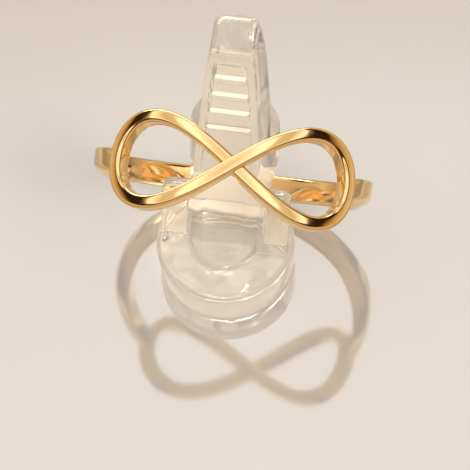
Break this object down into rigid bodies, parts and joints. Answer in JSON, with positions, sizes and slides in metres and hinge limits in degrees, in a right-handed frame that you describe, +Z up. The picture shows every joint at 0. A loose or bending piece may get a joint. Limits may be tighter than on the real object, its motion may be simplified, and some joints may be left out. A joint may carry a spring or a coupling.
{
  "type": "infinity ring on a clear display stand",
  "caption": "Gold ring with a lying figure-eight head and a plain band, held by a small clear stand with a curved finger.",
  "frame": {"origin": "centre of the underside of the stand's round foot, on the surface it stands on", "axes": "+Z up, -Y to the front, where the figure eight leans, and +X to the viewer's right along the figure eight"},
  "size_m": [0.0198, 0.0148, 0.0202],
  "materials": {
    "gold": "polished yellow gold",
    "clear_plastic": "clear moulded plastic, smooth"
  },
  "bodies": {
    "root": {"infinity_ring": "gold", "clear_stand": "clear_plastic"}
  },
  "joints": []
}
